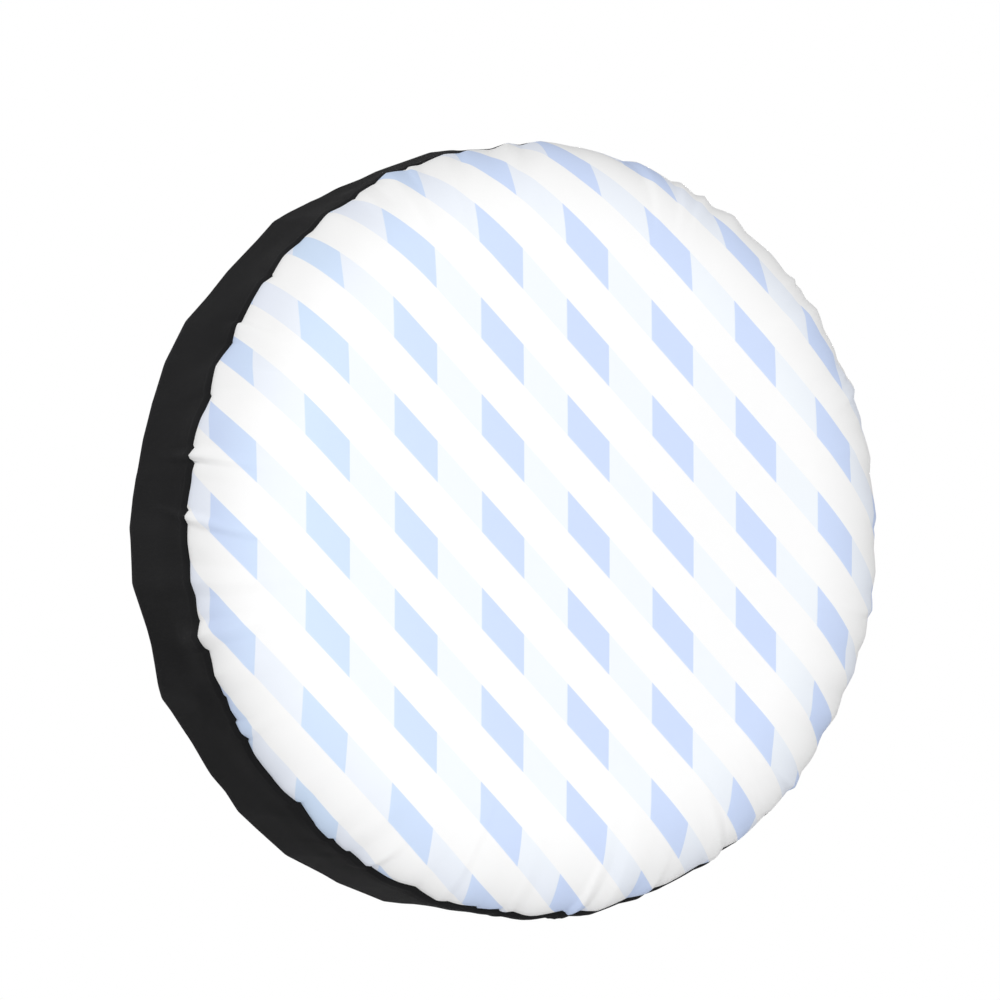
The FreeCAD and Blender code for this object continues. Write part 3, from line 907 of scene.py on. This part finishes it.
def stitches(name, node, starts, stops, normals, radius=stitchSetup["radius"]):
    # each stitch is a short tube from start to stop that bows out as 1 - (2t - 1)^4 and sinks in at its ends
    rings, sides, sink = [stitchSetup[key] for key in ("rings", "sides", "sink")]
    t = np.linspace(0, 1, rings)[None, :, None]
    along = (stops - starts) / np.linalg.norm(stops - starts, axis=1, keepdims=True)
    normals = normals - (normals * along).sum(1, keepdims=True) * along
    normals = normals / np.linalg.norm(normals, axis=1, keepdims=True)
    side = np.cross(along, normals)
    bow = (1 - (2 * t - 1) ** 4) * (radius + sink) - sink
    middle = starts[:, None] * (1 - t) + stops[:, None] * t + normals[:, None] * bow
    turn = turns(sides)[:-1, None]
    ring = np.cos(turn) * normals[:, None, None] + np.sin(turn) * side[:, None, None]
    points = middle[:, :, None] + ring * radius
    counts = (len(starts), rings - 1, sides)
    k, i, j = [grid.ravel() for grid in np.meshgrid(*map(np.arange, counts), indexing="ij")]

    def index(a, b):
        # the number of point b on ring a of every stitch
        return (k * rings + a) * sides + b % sides

    quads = np.stack([index(i, j), index(i + 1, j), index(i + 1, j + 1), index(i, j + 1)], axis=1)[:, ::-1]
    base = (np.arange(len(starts)) * rings * sides)[:, None]
    rim = np.arange(sides)
    caps = [*(base + rim), *(base + rings * sides - 1 - rim)]
    capUv = [np.zeros((sides, 2))] * len(caps)
    piece = meshOf(name, points.reshape(-1, 3), quads, np.zeros((len(quads), 4, 2)), None, caps, capUv)
    dress(piece, "thread", *([node] if node else []))
    return piece


def stitchesOnSkin(name, node, a, s, lift=0.0, share=0.82, inwards=False):
    # stitches from each point of a line on the cloth towards the next one
    points, _ = skin(a, s, lift)
    above, _ = skin(a, s, lift + 0.001)
    normals = (above - points)[:-1] * (-1 if inwards else 1)
    starts, stops = points[:-1], points[1:]
    gap = (stops - starts) * (1 - share) / 2
    return stitches(name, node, starts + gap, stops - gap, normals)


rowSetup = {
    "pitch": 0.0042,
    "rearOffset": 0.0045,
    "frontOffset": 0.0150,
    "joinShort": 0.004,
    "joinCount": 42,
    "joinApart": radians(0.62),
    "hemPitch": 0.0040,
    "hemInset": 0.0032,
    "hemRise": 0.84,
}


def seamStitches(setup):
    # one row on the band before the rear seam, and one on the binding past the front seam
    angles = turns(int(tau * coverSetup["radius"] / setup["pitch"]))
    rear = outline["rearSeam"] - setup["rearOffset"] + 0 * angles
    stitchesOnSkin("rear_seam_stitches", "rear_seam_thread", angles, rear)
    front = frontSeamAt(angles) + setup["frontOffset"]
    depth = -coverSetup["cloth"] - bindingSetup["gap"] - bindingSetup["thick"]
    stitchesOnSkin("front_seam_stitches", "front_seam_thread", angles, front, depth, inwards=True)


def joinStitches(setup):
    # a row on either side of the place where the band's two ends meet
    middle, short = foldSetup["joinAngle"], setup["joinShort"]
    s = np.linspace(frontSeamAt(middle) + short, outline["rearSeam"] - short, setup["joinCount"])
    for name, side in (("a", -1), ("b", 1)):
        a = middle + side * setup["joinApart"] + 0 * s
        stitchesOnSkin(f"band_join_stitches_{name}", None, a, s)
    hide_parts("band_join_thread")


def hemStitches(setup):
    # a row round the casing near its outer edge, on top of the ruffles
    count = int(tau * casing["outer"] / setup["hemPitch"])
    a = turns(count)
    fold = hemFold(a)
    r = casing["outer"] - setup["hemInset"]
    y = casing["y"] + fold + casing["thick"] / 2 * hemFullness(a, fold) * setup["hemRise"]
    points = np.stack([r * np.cos(a), y, r * np.sin(a)], axis=-1)
    gap = np.diff(points, axis=0) * 0.1
    up = np.tile([0.0, 1.0, 0.0], (count, 1))
    stitches("hem_stitches", "hem_thread", points[:-1] + gap, points[1:] - gap, up)

seamStitches(rowSetup)
joinStitches(rowSetup)
hemStitches(rowSetup)
print("seam stitches made")

strapSetup = {
    "x": boxSpan("right_upper_strap", 0).mean(),
    "width": np.ptp(boxSpan("right_upper_strap", 0)),
    "thick": 0.0015,
    "skinY": boxSpan("right_upper_strap_end", 1)[0],
    "rootZ": boxSpan("right_upper_strap_end", 2)[0],
    "sewnZ": boxSpan("right_upper_strap_end", 2)[1],
    "loop": 0.0027,  # from a bar's middle to the middle of the webbing round it
    "tail": 0.084,
    "slackBow": 0.0014,  # how far the hanging run bends out of line
}


def arcPath(y, z, radius, start, stop, count=14):
    # points on a circle in the YZ plane, at angles from +Y towards +Z, in degrees
    t = np.radians(np.linspace(start, stop, count))
    return np.stack([y + radius * np.cos(t), z + radius * np.sin(t)], axis=1)


def evenPath(parts, step=0.0016):
    # the path again with a point every step, smoothed a little so that arcs and runs join without a kink
    path = np.concatenate(parts)
    path = path[np.concatenate([[True], np.hypot(*np.diff(path, axis=0).T) > 1e-6])]
    s = np.concatenate([[0], np.cumsum(np.hypot(*np.diff(path, axis=0).T))])
    even = np.linspace(0, s[-1], int(s[-1] / step) + 2)
    fine = np.stack([np.interp(even, s, path[:, 0]), np.interp(even, s, path[:, 1])], axis=1)
    padded = np.concatenate([fine[:1], fine, fine[-1:]])
    smooth = (padded[:-2] + 2 * padded[1:-1] + padded[2:]) / 4
    smooth[0], smooth[-1] = fine[0], fine[-1]
    return smooth, even


def webbingStrip(name, x, parts, wave=0.0, seed=1):
    # a flat section carried along a path in the YZ plane, standing on the path's normal, with a slow random
    # wave of its edges from side to side
    path, s = evenPath(parts)
    run = np.gradient(path, axis=0)
    run = run / np.linalg.norm(run, axis=1, keepdims=True)
    normal = np.stack([run[:, 1], -run[:, 0]], axis=1)
    across, up = sectionRing(24, strapSetup["width"], strapSetup["thick"], 0.32)
    rng = np.random.default_rng(seed)
    knots = np.linspace(0, s[-1], max(4, int(s[-1] / 0.04)))
    shift = np.interp(s, knots, rng.uniform(-1, 1, len(knots))) * wave
    y = path[:, :1] + normal[:, :1] * up
    z = path[:, 1:] + normal[:, 1:] * up
    points = np.stack([x + across + shift[:, None] + 0 * y, y, z], axis=-1)
    uv = np.stack([s[:, None] + 0 * y, across + 0 * y], axis=-1)
    piece = gridMesh(name, points[:, :-1], uv, tube=True, caps=True)
    closeUp(piece)
    dress(piece, "webbing", body=None)
    return piece


def upperStrap(side, x, setup):
    # down from the sewn end, round the latch's bar and back up as a tail whose last part is folded over
    barY, barZ = barOf(f"{side}_upper_strap")
    runY = setup["skinY"] + 0.0008
    tailY = runY + 0.0019
    keeper = boxSpan(f"{side}_strap_keeper", 2)
    top = barZ + setup["tail"]
    hang = np.linspace(0, 1, 60)[:, None]
    run = np.array([[runY, setup["rootZ"] - 0.012]]) * (1 - hang) + np.array([[runY, barZ + 0.012]]) * hang
    run[:, 0] += setup["slackBow"] * np.sin(pi * hang[:, 0]) ** 2 * np.sin(2.2 * pi * hang[:, 0] + x * 9)
    parts = [
        np.array([[runY, setup["sewnZ"] - 0.0005], [runY, setup["rootZ"] - 0.012]]),
        run[1:],
        arcPath(barY, barZ, setup["loop"], 205, 360, 18),
        np.array([[barY + setup["loop"] - 0.0005, barZ + 0.006], [tailY, keeper[0] - 0.008], [tailY, top]]),
        arcPath(tailY + 0.0009, top, 0.0009, 180, 0, 8),
        np.array([[tailY + 0.0018, top], [tailY + 0.0018, top - 0.011]]),
    ]
    strap = webbingStrip(f"{side}_upper_strap_webbing", x, parts, wave=0.0004, seed=5 if x < 0 else 6)
    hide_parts(f"{side}_upper_strap", f"{side}_upper_strap_end")
    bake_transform(strap)


def barOf(strap):
    # the bar's middle in Y and Z: the strap's eye is the lowest 7 mm of the strap
    low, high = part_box(strap)
    z = low[2] + 0.0035
    if "upper" in strap:
        return strapSetup["skinY"] + 0.0037, z
    return high[1] - 0.0035, z


def lowerStrap(side, x, setup):
    # two layers: sewn upwards, folded over outwards about the fold's axis, then down and round the bar
    barY, barZ = barOf(f"{side}_lower_strap")
    foldY = setup["skinY"] + 0.0037
    rootZ, sewnZ = -setup["rootZ"], -setup["sewnZ"]
    outerR, innerR = 0.0029, 0.00125
    cutZ = rootZ - 0.010
    for layer, radius in (("outer", outerR), ("inner", innerR)):
        parts = [
            np.array([[foldY - radius, sewnZ + 0.0005], [foldY - radius, rootZ]]),
            arcPath(foldY, rootZ, radius, 180, 0, 16),
            np.array([[foldY + radius, rootZ], [foldY + radius, cutZ]]),
        ]
        fold = webbingStrip(f"{side}_lower_strap_fold_{layer}", x, parts)
        if layer == "outer":
            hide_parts(f"{side}_lower_strap_end")
        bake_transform(fold)
    parts = [
        np.array([[foldY + outerR, cutZ], [foldY + outerR, barZ + 0.014]]),
        arcPath(barY, barZ, setup["loop"], 25, -205, 22),
        np.array([[foldY + innerR, barZ + 0.014], [foldY + innerR, cutZ]]),
    ]
    strap = webbingStrip(f"{side}_lower_strap_webbing", x, parts, wave=0.0002, seed=8 if x < 0 else 9)
    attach(strap, f"{side}_lower_webbing")
    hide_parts(f"{side}_lower_strap")


def strapKeeper(side, x):
    # a rounded loop round the strap and its tail: a squarish ring in XY carried over a rounded band in Z
    xs, ys, zs = boxSpans(f"{side}_strap_keeper")
    t = turns(64)
    loopX = np.sign(np.cos(t)) * np.abs(np.cos(t)) ** 0.3
    loopY = np.sign(np.sin(t)) * np.abs(np.sin(t)) ** 0.45
    across, up = sectionRing(14, np.ptp(zs), 0.0009, 0.4)
    halfX, halfY = np.ptp(xs) / 2 - 0.0005, np.ptp(ys) / 2 - 0.0005
    px = xs.mean() + loopX[:, None] * (halfX + up[None, :])
    py = ys.mean() + loopY[:, None] * (halfY + up[None, :])
    pz = zs.mean() + across[None, :] + 0 * px
    points = np.stack([px, py, pz], axis=-1)
    u = t[:, None] * 0.010 + 0 * px
    uv = np.stack([u, across[None, :] + 0 * px], axis=-1)
    keeper = gridMesh(f"{side}_strap_keeper_loop", points[:-1, :-1], uv, ring=True, tube=True)
    closeUp(keeper)
    dress(keeper, "elastic", f"{side}_strap_keeper", body=f"{side}_upper_webbing")


patchSetup = {"cells": 40, "square": 6.0, "hem": 0.006, "hemRise": 0.0006}


def strapPatch(side, level, setup):
    # a pad of turned-in cloth: height 1 - |u|^p - |v|^p at the rim, with a raised border where it is turned
    xs, ys, zs = boxSpans(f"{side}_{level}_strap_patch")
    n = setup["cells"]
    g = np.linspace(-1, 1, n)
    g = np.sign(g) * (1 - (1 - np.abs(g)) ** 1.5)
    u, v = np.meshgrid(g, g, indexing="ij")
    rim = np.clip(1 - np.abs(u) ** 14, 0, 1) * np.clip(1 - np.abs(v) ** 14, 0, 1)
    inside = np.minimum(1 - np.abs(u), 1 - np.abs(v)) * np.ptp(xs) / 2
    border = np.exp(-(((inside - setup["hem"] * 0.55) / (setup["hem"] * 0.45)) ** 4)) * setup["hemRise"]
    plain = np.ptp(ys) - setup["hemRise"] - 0.0002
    height = (plain + border - 0.0002 * (inside > setup["hem"])) * rim**0.4
    corner = 1 - 0.035 * (np.abs(u) * np.abs(v)) ** 4
    px = xs.mean() + u * np.ptp(xs) / 2 * corner
    pz = zs.mean() + v * np.ptp(zs) / 2 * corner
    top = np.stack([px, ys[0] + height, pz], axis=-1)
    patch = gridMesh(f"{side}_{level}_patch_cloth", top, np.stack([px, pz], axis=-1), 0 * px)
    closeUp(patch, 4 * (n - 1))
    dress(patch, "black_cloth", f"{side}_{level}_strap_patch")


def sewnLine(start, stop, pitch=0.0030):
    # stitch ends along a straight line, each stitch four fifths of the pitch long
    start, stop = np.array(start), np.array(stop)
    count = max(2, int(round(np.linalg.norm(stop - start) / pitch)))
    step = (stop - start) / count
    k = np.arange(count)[:, None]
    return start + step * (k + 0.1), start + step * (k + 0.9)


def sidesOf(corners):
    # the four sides of a rectangle, each as its two ends
    return [(corners[k], corners[(k + 1) % 4]) for k in range(4)]


def boxStitches():
    # a sewn square with a cross in it on each strap end, and a square near each patch's rim
    starts, stops = [], []
    for side, level in ((s, v) for s in (-1, 1) for v in (-1, 1)):
        x = side * strapSetup["x"]
        name = f"{'left' if side < 0 else 'right'}_{'upper' if level > 0 else 'lower'}"
        top = boxSpan(f"{name}_strap_end", 1)[1] - 0.0001
        near, far = level * (strapSetup["rootZ"] + 0.003), level * (strapSetup["sewnZ"] - 0.003)
        half = strapSetup["width"] / 2 - 0.003
        places = ((-half, near), (half, near), (half, far), (-half, far))
        corner = [np.array([x + dx, top, z]) for dx, z in places]
        lines = sidesOf(corner) + [(corner[0], corner[2]), (corner[1], corner[3])]
        xs, ys, zs = boxSpans(f"{name}_strap_patch")
        inset = 0.0033
        low = np.array([xs[0] + inset, ys[1] - 0.0002, zs[0] + inset])
        high = np.array([xs[1] - inset, ys[1] - 0.0002, zs[1] - inset])
        rim = [low, np.array([high[0], low[1], low[2]]), high, np.array([low[0], low[1], high[2]])]
        lines += sidesOf(rim)
        for line in lines:
            a, b = sewnLine(*line)
            starts.append(a)
            stops.append(b)
    starts, stops = np.concatenate(starts), np.concatenate(stops)
    up = np.tile([0.0, 1.0, 0.0], (len(starts), 1))
    stitches("strap_end_stitches", "patch_thread", starts, stops, up, radius=0.00028)


for side, sign in (("left", -1), ("right", 1)):
    strapAt = sign * strapSetup["x"]
    upperStrap(side, strapAt, strapSetup)
    lowerStrap(side, strapAt, strapSetup)
    strapKeeper(side, strapAt)
    for level in ("upper", "lower"):
        strapPatch(side, level, patchSetup)
boxStitches()
print("straps made")

labelSetup = {"cells": (18, 24), "curl": 0.0016, "thick": 0.0005}


def makeLabel(setup):
    # a ribbon sewn along its upper edge: flat there, then curling off the cloth as the square of the way down
    xs, ys, zs = boxSpans("size_label")
    across, downwards = np.linspace(*xs, setup["cells"][0]), np.linspace(zs[1], zs[0], setup["cells"][1])
    x, z = np.meshgrid(across, downwards, indexing="ij")
    down = (zs[1] - z) / np.ptp(zs)
    lean = (x - xs.mean()) / np.ptp(xs)
    y = ys[0] + 0.0004 + setup["curl"] * down**2 * (0.55 + 0.8 * lean**2 + 0.3 * lean)
    label = gridMesh("size_label_ribbon", np.stack([x, y, z], axis=-1), np.stack([x, z], axis=-1), 0 * x)
    thicken(label, setup["thick"])
    dress(label, "label_cloth", "size_label")
    sewnY, sewnZ = ys[0] + 0.0006, zs[1] - 0.003
    a, b = sewnLine((xs[0] + 0.002, sewnY, sewnZ), (xs[1] - 0.002, sewnY, sewnZ), 0.0028)
    up = np.tile([0.0, 1.0, 0.0], (len(a), 1))
    stitches("size_label_stitches", None, a, b, up, radius=0.00025)


makeLabel(labelSetup)

# the CAD nodes that stay get a better material in their own slot
keptNodes = {
    "eyelet_brass": ["drain_eyelet", "drain_eyelet_washer"],
    "thread": ["elastic_joint_thread"],
    "buckle_plastic": [f"{side}_buckle_{half}" for side in ("left", "right") for half in ("latch", "body")],
}
for slotName, nodes in keptNodes.items():
    for node in nodes:
        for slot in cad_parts[node].material_slots:
            slot.material = looks[slotName]
print("label and hardware made")

stageSetup = {
    "floorZ": -0.62,
    "floorRadius": 2.6,
    "floorFade": 0.9,
    "floorLift": 0.50,  # how much whiter the floor looks than its light makes it
    "world": 0.36,
    "lamps": [
        # name, position, size, power
        ("key", (-1.6, -6.1, 1.5), 2.0, 268.0),
        ("fill", (2.2, -2.6, 0.6), 1.6, 4.0),
        ("back", (-2.7, 2.9, 1.9), 1.2, 62.0),
        ("rearFill", (2.05, 3.45, 0.3), 1.2, 88.0),
    ],
}


def makeFloor(setup):
    # a round floor that fades out towards its rim, and shows as white where nothing shades it
    t = np.arange(96) / 96 * tau
    rim = np.stack([np.cos(t), np.sin(t), 0 * t], axis=1) * setup["floorRadius"] + [0, 0, setup["floorZ"]]
    mesh = bpy.data.meshes.new("floor")
    mesh.from_pydata(rim.tolist(), [], [list(range(96))])
    floor = bpy.data.objects.new("floor", mesh)
    bpy.context.collection.objects.link(floor)
    look = Look("floor")
    look.plug(look.shader.inputs["Base Color"], (0.75, 0.75, 0.75, 1.0))
    look.plug(look.shader.inputs["Roughness"], 1.0)
    look.plug(look.shader.inputs["Specular IOR Level"], 0.0)
    look.plug(look.shader.inputs["Emission Color"], (1.0, 1.0, 1.0, 1.0))
    look.plug(look.shader.inputs["Emission Strength"], look.times(look.shown(), setup["floorLift"]))
    where = look.put("ShaderNodeTexCoord", {}, out=3)
    away = look.put("ShaderNodeVectorMath", {0: where}, out=1, operation="LENGTH")
    clear = look.put("ShaderNodeBsdfTransparent", {})
    fade = look.ramp(away, setup["floorFade"], setup["floorRadius"] * 0.97)
    mixed = look.put("ShaderNodeMixShader", {0: fade, 1: look.shader.outputs[0], 2: clear})
    look.plug(look.output.inputs[0], mixed)
    mesh.materials.append(look.material)


def makeWorld(strength):
    # white to the camera and to gloss and glass, and a plain even light to everything else
    world = bpy.data.worlds.new("studio")
    wiring = Wiring(world)
    values = {"Value": wiring.shown(), "To Min": strength, "To Max": 1.0}
    level = wiring.put("ShaderNodeMapRange", values)
    light = wiring.put("ShaderNodeBackground", {0: (1.0, 1.0, 1.0, 1.0), 1: level})
    wiring.plug(wiring.tree.nodes.new("ShaderNodeOutputWorld").inputs[0], light)
    bpy.context.scene.world = world


def makeLamps(lamps):
    # square area lamps that all face the middle of the cover
    for name, place, size, power in lamps:
        data = bpy.data.lights.new(name, "AREA")
        data.size = size
        data.energy = power
        lamp = bpy.data.objects.new(name, data)
        lamp.location = place
        lamp.rotation_euler = (-Vector(place)).to_track_quat("-Z", "Y").to_euler()
        bpy.context.collection.objects.link(lamp)


makeFloor(stageSetup)
makeWorld(stageSetup["world"])
makeLamps(stageSetup["lamps"])
bpy.context.scene.view_settings.view_transform = "Standard"
print("stage made")
